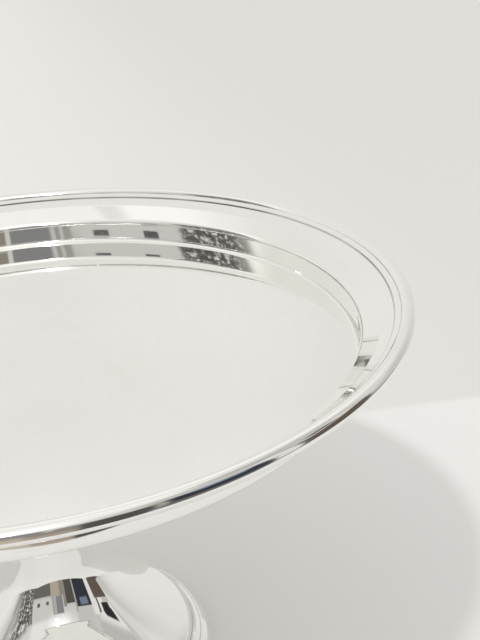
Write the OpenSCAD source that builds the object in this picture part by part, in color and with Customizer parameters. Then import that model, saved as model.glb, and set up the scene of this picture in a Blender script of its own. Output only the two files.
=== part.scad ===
// Footed compote: a shallow flat-floored dish of spun sheet silver on a trumpet stem and a
// domed foot. The Z axis is the axis of the bowl, and Z = 0 is the table it stands on.

/* [Dish] */
// Diameter over the rim bead
dish_d = 250; // [200:2:320]
// Height of the rim above the table
overall_h = 141.4; // [120:0.2:180]
// Thickness of the spun sheet
sheet_t = 1.2; // [0.8:0.1:1.6]
// Width of the flange's flatter outer part, from its ridge to the bead
brim_w = 5.5; // [4:0.1:8]
// Fall of that outer part from the middle of the bead to the ridge
brim_drop = 3; // [2:0.1:4]
// Width of the flange's steeper inner part, from the wall to the ridge
flange_w = 6.7; // [4:0.1:10]
// Fall of that inner part from the ridge to the wall
flange_drop = 4.9; // [3:0.1:7]
// Radius of the soft ridge between the two parts
ridge_curve = 3; // [1.5:0.5:8]
// Height of the wall above the floor
wall_h = 8.1; // [6:0.1:14]
// Lean of the wall, inwards from its top to its foot
wall_lean = 1.1; // [0.4:0.1:2]
// Inside radius where the wall meets the floor
floor_fillet = 1.4; // [0.8:0.1:3]
// Radius on the underside of the bend between the wall and the flange
lip_fillet = 1.5; // [0.6:0.1:2.4]

/* [Rim bead] */
// Diameter of the round wire that borders the rim
bead_d = 4.5; // [4:0.1:7]
// Depth of the groove in the wire that takes the edge of the flange
groove_depth = 1.2; // [0.8:0.1:1.5]
// Width of the flat fillet that runs inside the bead
fillet_w = 1.7; // [1:0.1:3]
// Thickness of that fillet above the flange
fillet_t = 0.4; // [0.3:0.1:0.8]

/* [Stem] */
// Radius at which the upper and lower slopes of the stem would meet, inside its waist
waist_r = 10.2; // [9.4:0.2:12]
// Radius of the stem where it meets the collar
stem_top_r = 18.6; // [17:0.2:21]
// Radius at which the stem would meet the slope of the flare
stem_foot_r = 14.8; // [14:0.1:18]
// Height of the waist above the point where the lines of stem and flare meet
waist_rise = 26; // [22:0.5:32]
// Radius of the long curve through the waist
waist_curve = 80; // [50:2:120]
// Length of the foot's neck inside the stem
neck_lap = 4; // [3:0.5:8]

/* [Collar] */
// Radius of the collar's flange under the dish
collar_r = 26; // [24:0.5:31]
// Height of the collar
collar_h = 7; // [6:0.2:10]
// Height of the collar's flat flange edge
collar_edge_h = 1.4; // [1:0.1:2]
// Depth of the socket that takes the top of the stem
socket_depth = 2.4; // [1.5:0.1:3]

/* [Foot] */
// Radius of the dome at its lower edge
dome_r = 45.7; // [42:0.1:60]
// Rise of the foot from the dome's edge to where the line of the stem would meet the flare
flare_h = 26.2; // [23:0.1:32]
// Radius of the hollow curve between the stem and the flare
neck_curve = 30; // [16:1:34]
// Width of the dome's gentle slope, from its shoulder in to the flare
slope_w = 14; // [10:0.2:18]
// Rise of that slope
slope_h = 8.1; // [6:0.1:10]
// Radius of the long hollow between that slope and the flare
flare_curve = 84; // [40:2:100]
// Width of the steep slope between the shoulder and the edge of the dome
shoulder_w = 1.4; // [1:0.1:4]
// Height of the shoulder above the edge of the dome
shoulder_h = 2.7; // [2:0.1:4]
// Radius of the dome's shoulder
shoulder_curve = 8; // [4:0.5:12]
// Radius on the inside of the bend between the dome and its skirt
edge_fillet = 0.3; // [0.2:0.1:1]
// Gap between the table and the skirt, where the dome's sheet ends inside the ring
skirt_gap = 1.2; // [0.8:0.1:2]

/* [Base ring] */
// Width of the ring's hollow riser, from the dome to the fine step
riser_w = 3.1; // [2:0.1:6]
// Height of the riser above the fine step
riser_h = 2.5; // [1:0.1:3.5]
// Width of the outer band, from the fine step to the edge on the table
band_w = 4.3; // [3.8:0.1:9]
// Height of the outer band above the table
band_h = 6.5; // [5:0.1:8]
// Width of the fine step
step_w = 0.5; // [0.3:0.1:0.8]
// Height of the ring's upright toe
toe_h = 1; // [0.8:0.1:2]
// Width of the flat that rests on the table
rest_w = 3.2; // [2:0.1:3.8]

/* [Fixing] */
// Radius of the plate soldered under the floor
plate_r = 20; // [17:0.1:23]
// Thickness of that plate
plate_t = 1.6; // [1:0.1:2.2]
// Outer diameter of the threaded stud
stud_d = 6; // [5:0.5:8]
// Pitch of the stud's thread
stud_pitch = 1; // [0.75:0.25:1.25]
// Width of the nut across its flats
nut_w = 10; // [9.5:0.5:13]
// Height of the nut
nut_h = 5; // [4:0.5:6.5]
// Height of the washer above the point where the lines of stem and flare meet
washer_rise = 6; // [4:0.5:9]
// Thickness of the washer
washer_t = 1.6; // [1:0.1:2.5]
// Length of the stud below the nut
stud_end = 4; // [2:0.5:6]

/* [Hidden] */
// Clearance left for solder between pieces that fit one in the other
fit = 0.05;
// Clearance of the stud in the washer
bore_clear = 0.3;
// One overrun for every cut
over = 1;
// Steps of a rounded corner, and of one turn round the axis
arc_steps = 14;
$fn = 160;

// Chamfer of the fillet's inner edge, and its reach into the wire, as shares of their sizes
fillet_shares = [0.5, 0.25];
// Place of the seam between the waist and the foot of the stem
seam_share = 0.56;
// Places on the riser and on the outer band where the ring's hollow and round turn
riser_shares = [0.45, 0.58];
band_shares = [0.5, 0.38];
// Height, between the toe and the step, to which the ring is hollowed behind its rest
ring_hollow_share = 0.3;
// Rounding of the ring's corners, as shares of the fine step
ring_round_shares = [0.25, 2, 0.25, 0.2, 0.2, 6, 1];
// Places on the collar's height where its hollow moulding ends
collar_shares = [0.5, 0.8];
// Rounding of the collar's edge and hollow, as a share of their heights
collar_round_share = 0.33;
// Depth of the thread, and the flat beside each crest, as shares of its pitch
thread_share = 0.6;
root_share = 0.12;

// Places on the dish, from the rim down
bead_z = overall_h - bead_d / 2;
bead_c = dish_d / 2 - bead_d / 2;
brim_r = bead_c - bead_d / 2;
ridge_r = brim_r - brim_w;
ridge_z = bead_z - brim_drop;
wall_r = ridge_r - flange_w;
lip_z = ridge_z - flange_drop;
floor_z = lip_z - wall_h;
under_z = floor_z - sheet_t;
brim_len = norm([brim_w, brim_drop]);

// Places on the base ring and the foot, from the table up
step_r = dome_r + riser_w;
base_r = step_r + band_w;
ring_top_z = band_h + riser_h;
ring_hollow_z = between(toe_h, band_h, ring_hollow_share);
dome_edge_z = ring_top_z + edge_fillet + sheet_t / 2;
shoulder_r = dome_r - shoulder_w;
shoulder_z = dome_edge_z + shoulder_h;
slope_r = shoulder_r - slope_w;
slope_z = shoulder_z + slope_h;
flare_z = dome_edge_z + flare_h;

// Places on the collar and the stem
collar_z = under_z - collar_h;
stem_top_z = collar_z + socket_depth;
waist_z = flare_z + waist_rise;
seam_r = between(waist_r, stem_foot_r, seam_share);
seam_z = between(waist_z, flare_z, seam_share);

// Places of the fixing inside the foot
washer_z = flare_z + washer_rise;
nut_z = washer_z - washer_t - nut_h;
stud_bottom_z = nut_z - stud_end;

// A value at a share of the way from a to b
function between(a, b, share) = a + (b - a) * share;
function unit(v) = v / norm(v);
function heading(v) = atan2(v[1], v[0]);
function turned(a) = a > 180 ? a - 360 : (a < -180 ? a + 360 : a);

// Angle through which a line of points turns at its inner corner i
function turn_at(pts, i) = turned(heading(pts[i + 1] - pts[i]) - heading(pts[i] - pts[i - 1]));

// Length that the rounding of corner i takes from each line beside it
function reach(pts, radii, i) = i == 0 || i == len(pts) - 1 ? 0 :
    radii[i - 1] * tan(abs(turn_at(pts, i)) / 2);

// Share of its radius that corner i keeps, so that its arc ends on the lines beside it
function kept_share(pts, radii, i) = min([1, for (k = [i - 1, i])
    norm(pts[k + 1] - pts[k]) / (reach(pts, radii, k) + reach(pts, radii, k + 1))]);

// The arc of radius r that rounds corner b of the line a, b, c, as places with headings
function corner(a, b, c, r) =
    let (h = heading(b - a), turn = turned(heading(c - b) - h), side = sign(turn),
        start = b - unit(b - a) * r * tan(abs(turn) / 2),
        mid = start + side * r * [-sin(h), cos(h)])
    [for (i = [0:arc_steps]) let (t = h + turn * i / arc_steps)
        [mid[0] + side * r * sin(t), mid[1] - side * r * cos(t), t]];

// A line of corner points with each inner corner rounded by its own radius
function rounded(pts, radii) =
    let (last = len(pts) - 1, h0 = heading(pts[1] - pts[0]),
        h1 = heading(pts[last] - pts[last - 1]))
    concat([[pts[0][0], pts[0][1], h0]],
        [for (i = [1:last - 1]) each corner(pts[i - 1], pts[i], pts[i + 1],
            radii[i - 1] * kept_share(pts, radii, i))],
        [[pts[last][0], pts[last][1], h1]]);

// The same line, moved to its left by t
function beside(line, t) = [for (p = line) [p[0] - t * sin(p[2]), p[1] + t * cos(p[2])]];
function places(line) = [for (p = line) [p[0], p[1]]];
function back(list) = [for (i = [len(list) - 1:-1:0]) list[i]];

// Section of a sheet of thickness t, whose outer skin is the line
module sheet_section(line, t) {
    polygon(concat(places(line), back(beside(line, t))));
}

// Inner skin of the dish, from the middle of the floor to the edge inside the bead
dish_line = rounded([
    [0, floor_z],
    [wall_r - wall_lean, floor_z],
    [wall_r, lip_z],
    [ridge_r, ridge_z],
    [brim_r + groove_depth, bead_z + groove_depth * brim_drop / brim_w]],
    [floor_fillet, lip_fillet + sheet_t, ridge_curve]);

// Outer skin of the stem, from the socket in the collar down to the seam
stem_line = rounded([
    [stem_top_r, stem_top_z],
    [stem_top_r, collar_z],
    [waist_r, waist_z],
    [seam_r, seam_z]],
    [sheet_t * 2, waist_curve]);

// Outer skin of the foot, from the seam down to the end of the skirt
foot_line = rounded([
    [seam_r, seam_z],
    [stem_foot_r, flare_z],
    [slope_r, slope_z],
    [shoulder_r, shoulder_z],
    [dome_r, dome_edge_z],
    [dome_r, skirt_gap]],
    [neck_curve, flare_curve, shoulder_curve, edge_fillet + sheet_t]);

// A place near the seam, by its depth inside the outer skin and its height along it
seam_up = unit([waist_r - seam_r, waist_z - seam_z]);
seam_in = [-seam_up[1], seam_up[0]];
function at_seam(depth, rise) = [seam_r, seam_z] + seam_in * depth + seam_up * rise;

// Radius of the foot's hollow at height z, inside the flare
hollow_places = [for (p = back(beside(foot_line, -sheet_t)))
    if (p[1] > dome_edge_z + sheet_t) [p[1], p[0]]];
function hollow_r(z) = lookup(z, hollow_places);

// Outer skin of the base ring, from its top inner edge down to the table
ring_line = rounded([
    [dome_r + fit, ring_top_z],
    [dome_r + step_w / 2, ring_top_z],
    [between(dome_r, step_r, riser_shares[0]), between(ring_top_z, band_h, riser_shares[1])],
    [step_r, band_h],
    [step_r + step_w, band_h],
    [step_r + step_w, band_h - step_w],
    [between(step_r, base_r, band_shares[0]), between(band_h, toe_h, band_shares[1])],
    [base_r, toe_h],
    [base_r, 0]],
    [for (share = ring_round_shares) step_w * share]);

module dish_pan() color("gainsboro")
    rotate_extrude() sheet_section(dish_line, -sheet_t);

// Places the section that follows along the brim, from the innermost point of the wire
module on_brim() translate([brim_r, bead_z]) rotate(atan2(brim_drop, brim_w)) children();

// Round wire with a flat fillet on its inner side, grooved below it for the edge of the flange
module rim_bead() {
    slant = brim_len / brim_w;
    chamfer = fillet_t * fillet_shares[0];
    fillet_in = bead_d * fillet_shares[1];
    color("silver") difference() {
        union() {
            rotate_extrude() translate([bead_c, bead_z]) circle(d = bead_d, $fn = 96);
            rotate_extrude() on_brim() polygon([
                [-fillet_w * slant, 0],
                [-fillet_w * slant, fillet_t - chamfer],
                [-fillet_w * slant + chamfer, fillet_t],
                [fillet_in, fillet_t],
                [fillet_in, 0]]);
        }
        rotate_extrude() on_brim() translate([-bead_d, -sheet_t - fit])
            square([bead_d + groove_depth * slant + fit, sheet_t + 2 * fit]);
    }
}

module dish_plate() color("darkgray")
    translate([0, 0, under_z - plate_t]) cylinder(r = plate_r, h = plate_t);

// Rod with a thread of rings at its lower end, where the nut runs
module stud() {
    thread_h = 2 * nut_h + washer_t + stud_end;
    crests = floor(thread_h / stud_pitch);
    core_r = stud_d / 2 - stud_pitch * thread_share;
    root = stud_pitch * root_share;
    color("darkgray") rotate_extrude() polygon(concat(
        [[0, stud_bottom_z], [core_r, stud_bottom_z]],
        [for (i = [0:crests - 1]) each [
            [core_r, stud_bottom_z + i * stud_pitch + root],
            [stud_d / 2, stud_bottom_z + (i + 0.5) * stud_pitch],
            [core_r, stud_bottom_z + (i + 1) * stud_pitch - root]]],
        [[stud_d / 2, stud_bottom_z + (crests + 1) * stud_pitch],
            [stud_d / 2, under_z - plate_t], [0, under_z - plate_t]]));
}

// Turned ring: a flange under the dish, a hollow moulding, and a socket for the stem
module stem_collar() {
    bore_r = stem_top_r - sheet_t * 2;
    neck_r = stem_top_r + sheet_t * 2;
    color("silver") rotate_extrude() difference() {
        polygon(places(rounded([
            [bore_r, under_z],
            [collar_r, under_z],
            [collar_r, under_z - collar_edge_h],
            [neck_r, between(under_z, collar_z, collar_shares[0])],
            [neck_r, between(under_z, collar_z, collar_shares[1])],
            [stem_top_r + sheet_t, collar_z],
            [bore_r, collar_z]],
            [fit, collar_edge_h * collar_round_share, collar_h * collar_round_share,
                sheet_t, sheet_t])));
        translate([0, under_z - plate_t - fit]) square([plate_r + fit, plate_t + over]);
        translate([0, collar_z - over]) square([stem_top_r + fit, socket_depth + over]);
    }
}

// Spun tube, waisted below the collar, whose lower end slips over the neck of the foot
module stem() color("gainsboro")
    rotate_extrude() sheet_section(stem_line, -sheet_t);

// Spun dome with a trumpet neck, stepped in at its top by one sheet to enter the stem
module foot_shell() {
    hollow = [for (p = places(beside(foot_line, -sheet_t)))
        if (([seam_r, seam_z] - p) * seam_up > sheet_t + fit) p];
    neck = [at_seam(sheet_t, -sheet_t - fit), at_seam(2 * sheet_t + fit, 0),
        at_seam(2 * sheet_t + fit, neck_lap), at_seam(sheet_t + fit, neck_lap),
        at_seam(sheet_t + fit, 0)];
    color("gainsboro") rotate_extrude() polygon(concat(places(foot_line), back(hollow), neck));
}

// Moulding round the skirt of the foot, hollowed below so that only its outer edge rests
module base_ring() color("silver")
    rotate_extrude() polygon(concat(places(ring_line),
        [[base_r - rest_w, 0], [dome_r + fit, ring_hollow_z]]));

// Cup washer that bears on the hollow of the flare
module clamp_washer() color("darkgray") difference() {
    translate([0, 0, washer_z - washer_t])
        cylinder(r = hollow_r(washer_z) - fit, h = washer_t);
    translate([0, 0, washer_z - washer_t - over])
        cylinder(d = stud_d + 2 * bore_clear, h = washer_t + 2 * over);
}

module clamp_nut() color("darkgray") difference() {
    translate([0, 0, nut_z])
        cylinder(d = nut_w / cos(30), h = nut_h, $fn = 6);
    translate([0, 0, nut_z - over])
        cylinder(d = stud_d + 2 * fit, h = nut_h + 2 * over);
}

dish_pan();
rim_bead();
dish_plate();
stud();
stem_collar();
stem();
foot_shell();
base_ring();
clamp_washer();
clamp_nut();
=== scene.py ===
"""A footed compote of polished silver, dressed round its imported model."""

import math

import bpy
from mathutils import Matrix, Vector


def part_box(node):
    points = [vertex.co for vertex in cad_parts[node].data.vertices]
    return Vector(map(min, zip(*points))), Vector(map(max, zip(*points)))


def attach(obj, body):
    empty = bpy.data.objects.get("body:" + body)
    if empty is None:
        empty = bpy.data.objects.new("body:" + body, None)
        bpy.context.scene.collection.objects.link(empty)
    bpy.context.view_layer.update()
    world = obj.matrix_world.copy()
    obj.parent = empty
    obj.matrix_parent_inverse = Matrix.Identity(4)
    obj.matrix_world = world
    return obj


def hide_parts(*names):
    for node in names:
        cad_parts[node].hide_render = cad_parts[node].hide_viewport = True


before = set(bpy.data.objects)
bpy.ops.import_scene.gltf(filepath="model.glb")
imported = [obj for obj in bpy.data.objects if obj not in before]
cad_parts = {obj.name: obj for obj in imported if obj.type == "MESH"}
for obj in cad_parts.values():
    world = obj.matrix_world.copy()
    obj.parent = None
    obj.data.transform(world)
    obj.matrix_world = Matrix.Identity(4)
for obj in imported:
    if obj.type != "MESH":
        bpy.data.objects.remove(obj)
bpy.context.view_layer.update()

MM = 0.001

# Camera, fitted to the photograph's 480 by 640 pixels
IMAGE_W, FOCAL_PX = 480, 1050.0
CAMERA_PLACE = Vector((0.0, -0.3151, 0.27025))
CAMERA_YAW = math.radians(12.94)
CAMERA_PITCH = math.radians(24.36)
CAMERA_ROLL = math.radians(-3.73)
SENSOR_W, CAMERA_NEAR = 36.0, 0.01

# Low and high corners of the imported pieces
DISH_LOW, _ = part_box("dish_pan")
BEAD_LOW, BEAD_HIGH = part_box("rim_bead")
COLLAR_LOW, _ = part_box("stem_collar")
_, STEM_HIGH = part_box("stem")
FOOT_LOW, FOOT_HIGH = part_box("foot_shell")
_, RING_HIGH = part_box("base_ring")

# Sizes of the dish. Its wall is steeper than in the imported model, as the photograph's reflections show.
SHEET, SOLDER = 1.2 * MM, 0.05 * MM
BRIM_W, BRIM_DROP = 5.5 * MM, 3 * MM
FLANGE_W, FLANGE_DROP, RIDGE_CURVE = 6.7 * MM, 4.9 * MM, 3 * MM
WALL_LEAN, WALL_BOW, WALL_CURVE = 0.1 * MM, 0.14 * MM, 60 * MM
FLOOR_FILLET, LIP_FILLET = 1.4 * MM, 1.5 * MM
GROOVE = 1.2 * MM

# Sizes of the rim bead and its fillet
BEAD_R = (BEAD_HIGH.z - BEAD_LOW.z) / 2
BEAD_C = BEAD_HIGH.x - BEAD_R
BEAD_Z = BEAD_HIGH.z - BEAD_R
FILLET_W, FILLET_T, FILLET_CHAMFER = 1.7 * MM, 0.4 * MM, 0.2 * MM

# Places on the dish
BRIM_R = BEAD_C - BEAD_R
BRIM_LEAN = math.atan2(BRIM_DROP, BRIM_W)
RIDGE_R, RIDGE_Z = BRIM_R - BRIM_W, BEAD_Z - BRIM_DROP
WALL_R, LIP_Z = RIDGE_R - FLANGE_W, RIDGE_Z - FLANGE_DROP
FLOOR_Z = DISH_LOW.z + SHEET
CREASE_R = BRIM_R - FILLET_W

# Sizes of the stem and foot
WAIST_R, WAIST_RISE, WAIST_CURVE = 10.2 * MM, 26 * MM, 80 * MM
STEM_FOOT_R, FLARE_H, NECK_CURVE = 14.8 * MM, 26.2 * MM, 30 * MM
SLOPE_W, SLOPE_H, FLARE_CURVE = 14 * MM, 8.1 * MM, 84 * MM
SHOULDER_W, SHOULDER_H, SHOULDER_CURVE = 1.4 * MM, 2.7 * MM, 8 * MM
EDGE_FILLET = 0.3 * MM

# Sizes of the base ring, then places on its mouldings and its hollow as shares of their widths and heights
RISER_W, BAND_H, STEP_W, TOE_H, REST_W = 3.1 * MM, 6.5 * MM, 0.5 * MM, 1 * MM, 3.2 * MM
RISER_SHARES, BAND_SHARES, HOLLOW_SHARE = (0.45, 0.58), (0.5, 0.38), 0.3
RING_CURVES = [STEP_W * s for s in (0.25, 2, 0.25, 0.2, 0.2, 6, 1, 0.2, 0.2)]
STEP_R = FOOT_HIGH.x + RISER_W

# Fineness of the turned pieces, the turn above which a corner is sharp, and the least radius off the axis
TURNS, WIRE_STEPS = 384, 80
ARC_STEP, SHARP_TURN = math.radians(4), math.radians(30)
ON_AXIS = 1e-7


def between(a, b, share):
    return a + (b - a) * share


# A line is a list of (r, z, heading in, heading out), which a lathe turns round the Z axis.


def rounded(points, radii):
    """The line through the points, with each inner corner rounded by its radius."""
    heads = [math.atan2(q[1] - p[1], q[0] - p[0]) for p, q in zip(points, points[1:])]
    line = [(*points[0], heads[0], heads[0])]
    for (r, z), radius, before, after in zip(points[1:-1], radii, heads, heads[1:]):
        turn = math.remainder(after - before, math.tau)
        if radius == 0:
            line.append((r, z, before, after))
            continue
        side = math.copysign(1, turn)
        reach = radius * math.tan(abs(turn) / 2)
        mid_r = r - reach * math.cos(before) - side * radius * math.sin(before)
        mid_z = z - reach * math.sin(before) + side * radius * math.cos(before)
        steps = max(2, math.ceil(abs(turn) / ARC_STEP))
        for i in range(steps + 1):
            h = before + turn * i / steps
            line.append((mid_r + side * radius * math.sin(h), mid_z - side * radius * math.cos(h), h, h))
    line.append((*points[-1], heads[-1], heads[-1]))
    return line


def beside(line, depth):
    """The same line moved to its left, and run the other way."""
    moved = [(r - depth * math.sin(heading_in), z + depth * math.cos(heading_in),
              heading_out + math.pi, heading_in + math.pi) for r, z, heading_in, heading_out in line]
    return moved[::-1]


def closed(line):
    """The line with its ends joined, each with a sharp corner where it turns."""
    loop = [list(p) for p in line]
    for k, point in enumerate(loop):
        after = loop[(k + 1) % len(loop)]
        if k == len(loop) - 1 or abs(math.remainder(point[3] - after[2], math.tau)) > SHARP_TURN:
            heading = math.atan2(after[1] - point[1], after[0] - point[0])
            point[3] = after[2] = heading
    return loop


def lathe(name, loop, node_names, side):
    """A piece turned from a closed loop, with the exact normals of its curves. The metal is on the left
    of the loop where side is 1, and on its right where side is -1."""
    places, faces, normals = [], [], []
    angles = [math.tau * t / TURNS for t in range(TURNS)]
    rings = []
    for r, z, _, _ in loop:
        if r < ON_AXIS:
            rings.append([len(places)] * TURNS)
            places.append((0, 0, z))
        else:
            rings.append(range(len(places), len(places) + TURNS))
            places += [(r * math.cos(a), r * math.sin(a), z) for a in angles]
    for k in range(len(loop)):
        after = (k + 1) % len(loop)
        if loop[k][0] < ON_AXIS and loop[after][0] < ON_AXIS:
            continue
        lean_a, lean_b = loop[k][3], loop[after][2]
        for t in range(TURNS):
            u = (t + 1) % TURNS
            corners = [(rings[k][t], lean_a, t), (rings[k][u], lean_a, u),
                       (rings[after][u], lean_b, u), (rings[after][t], lean_b, t)]
            corners = [c for i, c in enumerate(corners) if c[0] != corners[i - 1][0]]
            if side < 0:
                corners.reverse()
            faces.append([c[0] for c in corners])
            for _, lean, turn in corners:
                out_r, out_z = side * math.sin(lean), -side * math.cos(lean)
                normals.append((out_r * math.cos(angles[turn]), out_r * math.sin(angles[turn]), out_z))
    mesh = bpy.data.meshes.new(name)
    mesh.from_pydata(places, [], faces)
    mesh.shade_smooth()
    mesh.normals_split_custom_set(normals)
    piece = bpy.data.objects.new(name, mesh)
    bpy.context.scene.collection.objects.link(piece)
    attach(piece, "root")
    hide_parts(*node_names)
    return piece


# Pieces


def make_dish():
    wall_middle = (WALL_R - WALL_LEAN / 2 + WALL_BOW, between(FLOOR_Z, LIP_Z, 0.5))
    inner = rounded(
        [(0, FLOOR_Z), (WALL_R - WALL_LEAN, FLOOR_Z), wall_middle, (WALL_R, LIP_Z), (RIDGE_R, RIDGE_Z),
         (BRIM_R + GROOVE, BEAD_Z + GROOVE * BRIM_DROP / BRIM_W)],
        [FLOOR_FILLET, WALL_CURVE, LIP_FILLET + SHEET, RIDGE_CURVE])
    loop = closed(inner + beside(inner, -SHEET))
    return lathe("dish", loop, ["dish_pan"], -1)


def on_brim(along, above):
    """A place by its distances along the brim from the wire's innermost point, and above the brim."""
    return (BRIM_R + along * math.cos(BRIM_LEAN) - above * math.sin(BRIM_LEAN),
            BEAD_Z + along * math.sin(BRIM_LEAN) + above * math.cos(BRIM_LEAN))


def wire_angle(above):
    """Angle about the wire at which its inner side reaches a height above the brim."""
    rise = above + BEAD_R * math.sin(BRIM_LEAN)
    r, z = on_brim(BEAD_R * math.cos(BRIM_LEAN) - math.sqrt(BEAD_R**2 - rise**2), above)
    return math.atan2(z - BEAD_Z, r - BEAD_C) % math.tau


def make_bead():
    """The wire, from below the brim round to its fillet, and the fillet."""
    start, end = wire_angle(-SHEET), wire_angle(FILLET_T) + math.tau
    loop = []
    for i in range(WIRE_STEPS + 1):
        a = between(start, end, i / WIRE_STEPS)
        heading = a + math.pi / 2
        loop.append((BEAD_C + BEAD_R * math.cos(a), BEAD_Z + BEAD_R * math.sin(a), heading, heading))
    inward = BRIM_LEAN + math.pi
    edge = -FILLET_W / math.cos(BRIM_LEAN)
    loop[-1] = (*loop[-1][:3], inward)
    for (r, z), before, after in (
            (on_brim(edge + FILLET_CHAMFER, FILLET_T), inward, inward + math.pi / 4),
            (on_brim(edge, FILLET_T - FILLET_CHAMFER), inward + math.pi / 4, inward + math.pi / 2),
            (on_brim(edge, 0), inward + math.pi / 2, inward + math.pi)):
        loop.append((r, z, before, after))
    loop[0] = (*loop[0][:2], inward + math.pi, loop[0][3])
    return lathe("bead", loop, ["rim_bead"], 1)


def make_stem_and_foot():
    dome_r = FOOT_HIGH.x
    edge_z = RING_HIGH.z + EDGE_FILLET + SHEET / 2
    flare_z = edge_z + FLARE_H
    shoulder_r, shoulder_z = dome_r - SHOULDER_W, edge_z + SHOULDER_H
    outer = rounded(
        [(STEM_HIGH.x, STEM_HIGH.z), (STEM_HIGH.x, COLLAR_LOW.z), (WAIST_R, flare_z + WAIST_RISE),
         (STEM_FOOT_R, flare_z), (shoulder_r - SLOPE_W, shoulder_z + SLOPE_H), (shoulder_r, shoulder_z),
         (dome_r, edge_z), (dome_r, FOOT_LOW.z)],
        [SHEET * 2, WAIST_CURVE, NECK_CURVE, FLARE_CURVE, SHOULDER_CURVE, EDGE_FILLET + SHEET])
    loop = closed(outer + beside(outer, -SHEET))
    return lathe("stem_and_foot", loop, ["stem", "foot_shell"], -1)


def make_ring():
    dome_r, top_z, base_r = FOOT_HIGH.x, RING_HIGH.z, RING_HIGH.x
    outer = rounded(
        [(dome_r + SOLDER, top_z), (dome_r + STEP_W / 2, top_z),
         (between(dome_r, STEP_R, RISER_SHARES[0]), between(top_z, BAND_H, RISER_SHARES[1])),
         (STEP_R, BAND_H), (STEP_R + STEP_W, BAND_H), (STEP_R + STEP_W, BAND_H - STEP_W),
         (between(STEP_R, base_r, BAND_SHARES[0]), between(BAND_H, TOE_H, BAND_SHARES[1])),
         (base_r, TOE_H), (base_r, 0), (base_r - REST_W, 0),
         (dome_r + SOLDER, between(TOE_H, BAND_H, HOLLOW_SHARE))],
        RING_CURVES)
    return lathe("ring", closed(outer), ["base_ring"], -1)


dish = make_dish()
bead = make_bead()
foot = make_stem_and_foot()
ring = make_ring()


# Materials


def feed(tree, socket, value):
    """Gives a socket a value, or a link from another socket."""
    if isinstance(value, bpy.types.NodeSocket):
        tree.links.new(value, socket)
    else:
        socket.default_value = value


def maths(tree, operation, *values):
    node = tree.nodes.new("ShaderNodeMath")
    node.operation = operation
    for socket, value in zip(node.inputs, values):
        feed(tree, socket, value)
    return node.outputs["Value"]


def smooth(tree, value, start, end):
    """0 before the start, 1 past the end, and a soft rise between."""
    node = tree.nodes.new("ShaderNodeMapRange")
    node.interpolation_type = "SMOOTHSTEP"
    for name, v in (("Value", value), ("From Min", start), ("From Max", end)):
        feed(tree, node.inputs[name], v)
    return node.outputs["Result"]


def stretch(tree, value, low, high):
    """A value from 0 to 1 made to run from low to high."""
    node = tree.nodes.new("ShaderNodeMapRange")
    for name, v in (("Value", value), ("To Min", low), ("To Max", high)):
        feed(tree, node.inputs[name], v)
    return node.outputs["Result"]


def within(tree, value, low, high, soft):
    """1 between low and high, with soft edges."""
    rise = smooth(tree, value, low - soft / 2, low + soft / 2)
    fall = smooth(tree, value, high + soft / 2, high - soft / 2)
    return maths(tree, "MULTIPLY", rise, fall)


def mixed(tree, share, first, second):
    """The first colour where the share is 0, and the second where it is 1."""
    node = tree.nodes.new("ShaderNodeMix")
    node.data_type = "RGBA"
    feed(tree, node.inputs["Factor"], share)
    for socket, colour in ((node.inputs[6], first), (node.inputs[7], second)):
        feed(tree, socket, colour if isinstance(colour, bpy.types.NodeSocket) else (*colour, 1))
    return node.outputs[2]


def split(tree, vector):
    node = tree.nodes.new("ShaderNodeSeparateXYZ")
    feed(tree, node.inputs[0], vector)
    return node.outputs


def joined(tree, x, y, z):
    node = tree.nodes.new("ShaderNodeCombineXYZ")
    for socket, value in zip(node.inputs, (x, y, z)):
        feed(tree, socket, value)
    return node.outputs[0]


def place_on(tree):
    return tree.nodes.new("ShaderNodeTexCoord").outputs["Object"]


def noise(tree, place, scale, detail, roughness=0.5):
    node = tree.nodes.new("ShaderNodeTexNoise")
    for name, value in (("Vector", place), ("Scale", scale), ("Detail", detail), ("Roughness", roughness)):
        feed(tree, node.inputs[name], value)
    return node.outputs["Fac"]


def turned_place(tree, around):
    """A place on the piece as (angle times around, radius, height), so that a texture runs round the axis.
    Gives the radius and the height too."""
    x, y, z = split(tree, place_on(tree))
    squares = maths(tree, "MULTIPLY", x, x), maths(tree, "MULTIPLY", y, y)
    radius = maths(tree, "SQRT", maths(tree, "ADD", *squares))
    angle = maths(tree, "MULTIPLY", maths(tree, "ARCTAN2", y, x), around)
    return joined(tree, angle, radius, z), radius, z


def wiped_place(tree, lean, stretched):
    """A place on the piece, stretched along a line that leans from the X axis, for a texture of strokes."""
    node = tree.nodes.new("ShaderNodeMapping")
    feed(tree, node.inputs["Vector"], place_on(tree))
    node.inputs["Rotation"].default_value = (0, 0, lean)
    node.inputs["Scale"].default_value = (1 / stretched, 1, 1)
    return node.outputs[0]


def bumped(tree, shader, height, depth):
    node = tree.nodes.new("ShaderNodeBump")
    feed(tree, node.inputs["Height"], height)
    node.inputs["Distance"].default_value = depth
    tree.links.new(node.outputs[0], shader.inputs["Normal"])


def blank(name):
    material = bpy.data.materials.new(name)
    material.use_nodes = True
    tree = material.node_tree
    return material, tree, tree.nodes["Principled BSDF"]


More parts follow.
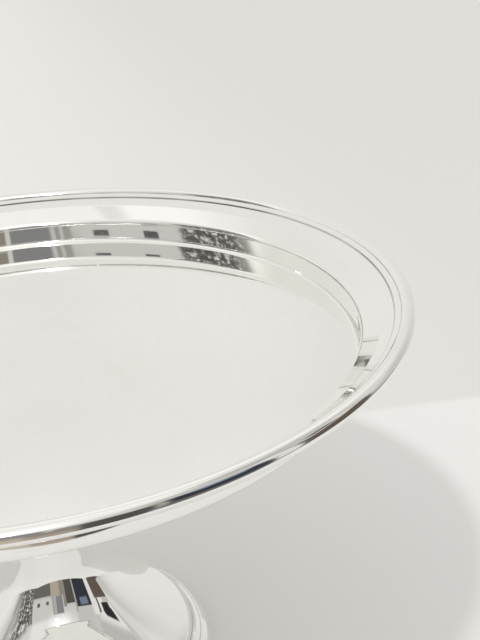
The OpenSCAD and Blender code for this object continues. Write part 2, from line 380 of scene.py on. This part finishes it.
# Colours of silver, then the scales, ranges and depths of its turning rings, wiping strokes, waves, pebbles
# and film, and of the dirt in its grooves
SILVER, WARM_FILM, TARNISH = (0.945, 0.94, 0.92), (0.935, 0.92, 0.885), (0.46, 0.44, 0.41)
RING_AROUND, RING_SCALE, RING_DEPTH = 0.02, 1500, 0.5e-6
STROKE_LEAN, STROKE_STRETCH, STROKE_SCALE, STROKE_DEPTH = math.radians(-38), 14, 1100, 0.35e-6
WAVE_SCALE, WAVE_DEPTH, PEBBLE_SCALE, PEBBLE_DEPTH = 70, 7e-6, 260, 2.2e-6
FILM_SCALE, FILM_RANGE, WORN_RANGE = 30, (0.45, 0.75), (0.56, 0.74)
DIRT_SCALE, DIRT_LEAST, DIRT_SOFT, DIRT_DULLNESS = 400, 0.2, 0.3 * MM, 0.2

# The stains of bare metal, and how much its tool marks change its roughness
STAIN_SCALE, STAIN_RANGE, MARK_DULLNESS = 90, (0.35, 0.7), 0.12


def silver(name, low, high, strokes, grooves):
    """Polished silver: a mirror with faint turning rings, wiping strokes, slow waves, fine pebbles, a warm
    film in patches and tarnish in its grooves. Low and high are its roughness where it is clean and where it
    is wiped most, and strokes is the strength of its strokes, waves and pebbles. Each groove is (from radius,
    to radius, from height, to height)."""
    material, tree, shader = blank(name)
    shader.inputs["Metallic"].default_value = 1
    ring_place, radius, height = turned_place(tree, RING_AROUND)
    rings = noise(tree, ring_place, RING_SCALE, detail=3)
    stroke_place = wiped_place(tree, STROKE_LEAN, STROKE_STRETCH)
    wiping = noise(tree, stroke_place, STROKE_SCALE, detail=4, roughness=0.6)
    waves = noise(tree, ring_place, WAVE_SCALE, detail=2)
    pebbles = noise(tree, place_on(tree), PEBBLE_SCALE, detail=2)
    film = smooth(tree, noise(tree, ring_place, FILM_SCALE, detail=3), *FILM_RANGE)
    worn = smooth(tree, wiping, *WORN_RANGE)
    colour = mixed(tree, film, SILVER, WARM_FILM)
    gloss = stretch(tree, maths(tree, "MULTIPLY", worn, strokes), low, high)
    for r0, r1, z0, z1 in grooves:
        inside = within(tree, radius, r0, r1, DIRT_SOFT), within(tree, height, z0, z1, DIRT_SOFT)
        dirt = maths(tree, "MULTIPLY", *inside)
        patches = stretch(tree, noise(tree, ring_place, DIRT_SCALE, detail=3), DIRT_LEAST, 1)
        dirt = maths(tree, "MULTIPLY", dirt, patches)
        colour = mixed(tree, dirt, colour, TARNISH)
        gloss = maths(tree, "ADD", gloss, maths(tree, "MULTIPLY", dirt, DIRT_DULLNESS))
    feed(tree, shader.inputs["Base Color"], colour)
    feed(tree, shader.inputs["Roughness"], gloss)
    relief = maths(tree, "MULTIPLY", rings, RING_DEPTH)
    for marks, depth in ((wiping, STROKE_DEPTH), (waves, WAVE_DEPTH), (pebbles, PEBBLE_DEPTH)):
        relief = maths(tree, "ADD", relief, maths(tree, "MULTIPLY", marks, depth * strokes))
    bumped(tree, shader, relief, 1)
    return material


def turned_metal(name, tone, stain, roughness, around, scale, depth):
    """Bare metal with stains, and tool marks round its axis. The marks are finer round it as around grows."""
    material, tree, shader = blank(name)
    shader.inputs["Metallic"].default_value = 1
    place, _, _ = turned_place(tree, around)
    marks = noise(tree, place, scale, detail=4, roughness=0.6)
    stains = smooth(tree, noise(tree, place_on(tree), STAIN_SCALE, detail=4), *STAIN_RANGE)
    feed(tree, shader.inputs["Base Color"], mixed(tree, stains, tone, stain))
    gloss = stretch(tree, marks, roughness - MARK_DULLNESS, roughness + MARK_DULLNESS)
    feed(tree, shader.inputs["Roughness"], gloss)
    bumped(tree, shader, marks, depth)
    return material


dish.data.materials.append(silver("polished_dish", low=0.035, high=0.16, strokes=1, grooves=[
    (CREASE_R - 0.25 * MM, CREASE_R + 0.1 * MM, RIDGE_Z, BEAD_Z)]))
bead.data.materials.append(silver("polished_bead", low=0.09, high=0.17, strokes=0.6, grooves=[
    (CREASE_R - 0.1 * MM, CREASE_R + 0.15 * MM, RIDGE_Z, BEAD_Z)]))
foot.data.materials.append(silver("polished_foot", low=0.025, high=0.1, strokes=0.5, grooves=[
    (FOOT_HIGH.x - 0.3 * MM, FOOT_HIGH.x + 0.1 * MM, 0, RING_HIGH.z + 0.5 * MM)]))
ring.data.materials.append(silver("polished_ring", low=0.04, high=0.14, strokes=0.8, grooves=[
    (FOOT_HIGH.x, FOOT_HIGH.x + 0.5 * MM, RING_HIGH.z - 1 * MM, RING_HIGH.z + 0.1 * MM),
    (STEP_R - 0.4 * MM, STEP_R + 0.1 * MM, BAND_H - 0.1 * MM, BAND_H + 0.4 * MM)]))

sheet_metal = turned_metal("plated_sheet", tone=(0.80, 0.78, 0.73), stain=(0.70, 0.66, 0.58),
                           roughness=0.3, around=0.1, scale=900, depth=2e-6)
steel = turned_metal("turned_steel", tone=(0.66, 0.65, 0.63), stain=(0.50, 0.47, 0.43),
                     roughness=0.35, around=0.02, scale=1800, depth=4e-6)
turned_silver = turned_metal("turned_silver", tone=(0.92, 0.91, 0.88), stain=(0.88, 0.85, 0.79),
                             roughness=0.16, around=0.02, scale=1400, depth=1e-6)
for node, metal in (("dish_plate", sheet_metal), ("clamp_washer", sheet_metal), ("stud", steel),
                    ("clamp_nut", steel), ("stem_collar", turned_silver)):
    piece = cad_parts[node]
    piece.data.materials.clear()
    piece.data.materials.append(metal)


# Floor, room, lights and camera


def plane(name, corners, material):
    mesh = bpy.data.meshes.new(name)
    mesh.from_pydata(corners, [], [range(len(corners))])
    o = bpy.data.objects.new(name, mesh)
    bpy.context.scene.collection.objects.link(o)
    mesh.materials.append(material)
    return o


# The floor is a table. It ends in front, to the left and to the right, where polished metal sees the room
# below it. Behind the table the floor has the tone of a wall, with painted light and shade on it: lighter on
# the left and darker on the right, as the light falls on the wall.
FLOOR_TONE, FLOOR_ROUGHNESS, FLOOR_REACH = (0.83, 0.825, 0.805), 0.6, 4
FAR_LIT_LEFT, FAR_SHADED_RIGHT, FAR_CHANGE = (0.84, 0.835, 0.81), (0.745, 0.74, 0.715), (-0.05, 0.35)
TABLE_FRONT, TABLE_LEFT, TABLE_RIGHT, TABLE_SOFT = -0.268, -0.5, 0.45, 0.004
WALL_Y, WALL_SLOPE, WALL_SOFT = 0.149, -0.103, 0.006

# The wall as polished metal sees it, a card that glows though it is no lamp, so that its glow is painted
# light:
# its ends and top, its tone, the heights between which painted light makes it brighter, how painted shade
# fades it to the left and to the right, and the tones of its plaster and of larger clouds.
WALL_LEFT, WALL_RIGHT, WALL_TOP = -1.2, 1.4, 0.9
WALL_TONE, WALL_BRIGHT = (0.81, 0.805, 0.78), 1.22
BRIGHT_LOW, BRIGHT_HIGH, BRIGHT_SOFT = 0.30, 0.60, 0.14
LEFT_END, LEFT_FADED, RIGHT_END, RIGHT_FADED = (-1.0, -0.3), 0.4, (0.1, 0.55), 0.7
PLASTER_SCALE, PLASTER_TONES, CLOUD_SCALE, CLOUD_TONES = 480, (0.96, 1.04), 9, (0.93, 1.07)


def make_floor():
    material, tree, shader = blank("table")
    x, y, _ = split(tree, place_on(tree))
    past_wall = maths(tree, "SUBTRACT", y, maths(tree, "MULTIPLY", x, WALL_SLOPE))
    behind = smooth(tree, past_wall, WALL_Y - WALL_SOFT / 2, WALL_Y + WALL_SOFT / 2)
    # Painted light and shade behind the table: the far floor is lighter on the left and darker on the right.
    far = mixed(tree, smooth(tree, x, *FAR_CHANGE), FAR_LIT_LEFT, FAR_SHADED_RIGHT)
    feed(tree, shader.inputs["Base Color"], mixed(tree, behind, FLOOR_TONE, far))
    shader.inputs["Roughness"].default_value = FLOOR_ROUGHNESS
    on_table = maths(tree, "MULTIPLY", smooth(tree, y, TABLE_FRONT - TABLE_SOFT, TABLE_FRONT),
                     within(tree, x, TABLE_LEFT, TABLE_RIGHT, TABLE_SOFT))
    off_table = maths(tree, "SUBTRACT", 1, on_table)
    light_path = tree.nodes.new("ShaderNodeLightPath")
    clear = maths(tree, "MULTIPLY", light_path.outputs["Is Glossy Ray"], off_table)
    either = tree.nodes.new("ShaderNodeMixShader")
    tree.links.new(clear, either.inputs[0])
    tree.links.new(shader.outputs[0], either.inputs[1])
    tree.links.new(tree.nodes.new("ShaderNodeBsdfTransparent").outputs[0], either.inputs[2])
    tree.links.new(either.outputs[0], tree.nodes["Material Output"].inputs["Surface"])
    low, high = -FLOOR_REACH, FLOOR_REACH
    plane("floor", [(low, low, 0), (high, low, 0), (high, high, 0), (low, high, 0)], material)


def make_wall():
    """The wall behind the table, which only polished metal sees. It glows though it is no lamp: its glow is
    painted light on a wall.
    """
    material, tree, _ = blank("wall")
    glow = tree.nodes.new("ShaderNodeEmission")
    glow.inputs["Color"].default_value = (*WALL_TONE, 1)
    place = place_on(tree)
    x, _, height = split(tree, place)
    # Painted light: a brighter band across the wall, and painted shade that fades it at its ends.
    strength = stretch(tree, within(tree, height, BRIGHT_LOW, BRIGHT_HIGH, BRIGHT_SOFT), 1, WALL_BRIGHT)
    for share in (
            stretch(tree, smooth(tree, x, *LEFT_END), LEFT_FADED, 1),
            stretch(tree, smooth(tree, x, *RIGHT_END), 1, RIGHT_FADED),
            stretch(tree, noise(tree, place, PLASTER_SCALE, detail=3, roughness=0.6), *PLASTER_TONES),
            stretch(tree, noise(tree, place, CLOUD_SCALE, detail=2), *CLOUD_TONES)):
        strength = maths(tree, "MULTIPLY", strength, share)
    feed(tree, glow.inputs["Strength"], strength)
    tree.links.new(glow.outputs[0], tree.nodes["Material Output"].inputs["Surface"])
    left = (WALL_LEFT, WALL_Y + WALL_SLOPE * WALL_LEFT)
    right = (WALL_RIGHT, WALL_Y + WALL_SLOPE * WALL_RIGHT)
    wall = plane("wall", [(*left, 0), (*right, 0), (*right, WALL_TOP), (*left, WALL_TOP)], material)
    wall.visible_camera = wall.visible_diffuse = wall.visible_shadow = wall.visible_transmission = False
    wall.visible_volume_scatter = False


make_floor()
make_wall()

# The even tone of the studio, then the room that only polished metal sees. A turn is in degrees to the left
# of the front, and a rise in degrees above level. The first list gives the plain room's tone by its rise. In
# the second, each thing has its turns, its rises, the width of its soft edge, and its tone. A later thing
# covers an earlier one.
STUDIO_TONE = (0.82, 0.812, 0.80)
ROOM_TINT = (1, 0.985, 0.955)
ROOM_RISES = ((-90, 0.32), (-20, 0.28), (0, 0.36), (18, 0.54), (40, 0.68), (60, 0.88), (75, 0.94))
ROOM = (
    ((-105, -58), (38, 66), 10, (0.50, 0.49, 0.475)),       # upper wall on the right
    ((-105, -58), (14, 40), 6, (0.78, 0.77, 0.75)),         # lower wall on the right
    ((-58, -24), (20, 54), 10, (0.55, 0.54, 0.525)),        # wall over the black opening
    ((28, 74), (9, 36), 8, (0.60, 0.59, 0.57)),             # lower wall on the left
    ((28, 70), (36, 60), 8, (0.80, 0.79, 0.77)),            # upper wall on the left
    ((-6, 32), (38, 80), 24, (1.15, 1.15, 1.14)),           # window
    ((-95, -67), (-80, 20), 2, (0.12, 0.095, 0.08)),        # dark brown block on the right
    ((-94, -80), (20, 26), 1.5, (0.55, 0.50, 0.43)),        # light strip on it
    ((-88, -76), (26, 37), 1.5, (0.03, 0.03, 0.03)),        # black box over it
    ((-72, -69), (20, 38), 1, (0.08, 0.075, 0.07)),         # dark post
    ((-67, -58), (-12, 30), 1.5, (0.74, 0.73, 0.70)),       # pale strip
    ((-58, -28), (-12, 28), 1.5, (0.035, 0.04, 0.05)),      # black opening
    ((-52, -36), (17, 26), 3, (0.16, 0.21, 0.28)),          # bluish light in it
    ((-28, -25), (-12, 34), 1, (0.42, 0.38, 0.32)),         # brown post
    ((-25, -6), (-80, 22), 2, (0.085, 0.082, 0.078)),       # dark block
    ((-6, 7), (-80, 25), 2, (0.27, 0.245, 0.21)),           # brown block
    ((7, 28), (-80, 10), 2, (0.42, 0.37, 0.30)),            # low light brown block
    ((0, 1.8), (10, 32), 0.6, (0.62, 0.61, 0.58)),          # light gap
    ((2, 17), (10, 32), 1, (0.235, 0.235, 0.24)),           # grey panel
    ((17, 25), (10, 32), 2, (0.34, 0.33, 0.31)),            # lighter panel
    ((17.4, 18.8), (10, 32), 0.6, (0.54, 0.53, 0.51)),      # first stripe on it
    ((20.6, 22), (10, 32), 0.6, (0.52, 0.51, 0.49)),        # second stripe on it
    ((28, 74), (-80, 8), 2, (0.14, 0.135, 0.13)),           # low dark block on the left
    ((33.5, 39.5), (14.2, 18.6), 0.8, (0.13, 0.13, 0.13)),  # first dark patch on the wall
    ((53.5, 59.5), (14.2, 18.6), 0.8, (0.10, 0.10, 0.10)),  # second dark patch on the wall
    ((-58, -28), (-80, -12), 3, (0.15, 0.145, 0.14)),       # floor of the room, from the right to the left
    ((-6, 7), (-80, -12), 3, (0.38, 0.33, 0.27)),
    ((7, 28), (-80, -12), 3, (0.52, 0.46, 0.38)),
    ((28, 74), (-80, -12), 3, (0.22, 0.21, 0.20)),
    ((16.5, 22), (38, 64), 2, (22, 22, 22)),                # very bright light
)

# The sparkly area on the left: the turns over which it starts and ends, the rises over which it ends, the
# fineness and range of its spots, and its two tones
SPARKLE_START, SPARKLE_END, SPARKLE_TOP = (68, 71), (108, 90), (38, 33)
SPOT_TURN, SPOT_RISE, SPOT_SCALE, SPOT_RANGE = 0.3, 0.2, 1.3, (0.48, 0.66)
SPARKLE_DARK, SPARKLE_LIGHT = (0.10, 0.095, 0.09), (0.75, 0.75, 0.73)

# The sun's direction in millimetres, from the rim to the edge of its shadow
SUN_ENERGY, SUN_ANGLE, SUN_HEADING = 0.72, math.radians(4), Vector((55.5, 54, -139.15))


def make_room():
    world = bpy.data.worlds.new("room")
    bpy.context.scene.world = world
    world.use_nodes = True
    tree = world.node_tree
    x, y, z = split(tree, tree.nodes.new("ShaderNodeTexCoord").outputs["Generated"])
    leftward, frontward = maths(tree, "MULTIPLY", x, -1), maths(tree, "MULTIPLY", y, -1)
    turn = maths(tree, "DEGREES", maths(tree, "ARCTAN2", leftward, frontward))
    rise = maths(tree, "DEGREES", maths(tree, "ARCSINE", z))
    # The ramp runs from straight down to straight up.
    ramp = tree.nodes.new("ShaderNodeValToRGB")
    tree.links.new(maths(tree, "DIVIDE", maths(tree, "ADD", rise, 90), 180), ramp.inputs[0])
    stops = ramp.color_ramp.elements
    for i, (degrees, tone) in enumerate(ROOM_RISES):
        stop = stops[0] if i == 0 else stops.new((degrees + 90) / 180)
        stop.color = (*(tone * share for share in ROOM_TINT), 1)
    stops.remove(stops[-1])
    colour = ramp.outputs[0]
    for (t0, t1), (r0, r1), soft, tone in ROOM:
        mask = maths(tree, "MULTIPLY", within(tree, turn, t0, t1, soft), within(tree, rise, r0, r1, soft))
        colour = mixed(tree, mask, colour, tone)
    place = joined(tree, maths(tree, "MULTIPLY", turn, SPOT_TURN),
                   maths(tree, "MULTIPLY", rise, SPOT_RISE), 0)
    spots = smooth(tree, noise(tree, place, SPOT_SCALE, detail=3, roughness=0.7), *SPOT_RANGE)
    mask = maths(tree, "MULTIPLY", smooth(tree, turn, *SPARKLE_START), smooth(tree, turn, *SPARKLE_END))
    mask = maths(tree, "MULTIPLY", mask, smooth(tree, rise, *SPARKLE_TOP))
    colour = mixed(tree, mask, colour, mixed(tree, spots, SPARKLE_DARK, SPARKLE_LIGHT))
    light_path = tree.nodes.new("ShaderNodeLightPath")
    seen = mixed(tree, light_path.outputs["Is Glossy Ray"], STUDIO_TONE, colour)
    feed(tree, tree.nodes["Background"].inputs["Color"], seen)


def make_sun():
    """The sun, which polished metal doesn't see."""
    data = bpy.data.lights.new("sun", "SUN")
    data.energy, data.angle = SUN_ENERGY, SUN_ANGLE
    sun = bpy.data.objects.new("sun", data)
    bpy.context.scene.collection.objects.link(sun)
    sun.rotation_mode = "QUATERNION"
    sun.rotation_quaternion = SUN_HEADING.to_track_quat("-Z", "Y")
    sun.visible_glossy = False


def make_camera():
    level = Vector((math.cos(CAMERA_YAW), -math.sin(CAMERA_YAW), 0))
    forward = Vector((math.sin(CAMERA_YAW) * math.cos(CAMERA_PITCH),
                      math.cos(CAMERA_YAW) * math.cos(CAMERA_PITCH), -math.sin(CAMERA_PITCH)))
    upward = level.cross(forward)
    right = level * math.cos(CAMERA_ROLL) + upward * math.sin(CAMERA_ROLL)
    up = upward * math.cos(CAMERA_ROLL) - level * math.sin(CAMERA_ROLL)
    data = bpy.data.cameras.new("camera")
    data.sensor_fit, data.sensor_width = "HORIZONTAL", SENSOR_W
    data.lens = FOCAL_PX / IMAGE_W * SENSOR_W
    data.clip_start = CAMERA_NEAR
    camera = bpy.data.objects.new("camera", data)
    bpy.context.scene.collection.objects.link(camera)
    axes = Matrix((right, up, -forward)).transposed()
    camera.matrix_world = Matrix.Translation(CAMERA_PLACE) @ axes.to_4x4()
    bpy.context.scene.camera = camera


make_room()
make_sun()
make_camera()

bpy.context.scene.view_settings.view_transform = "Standard"
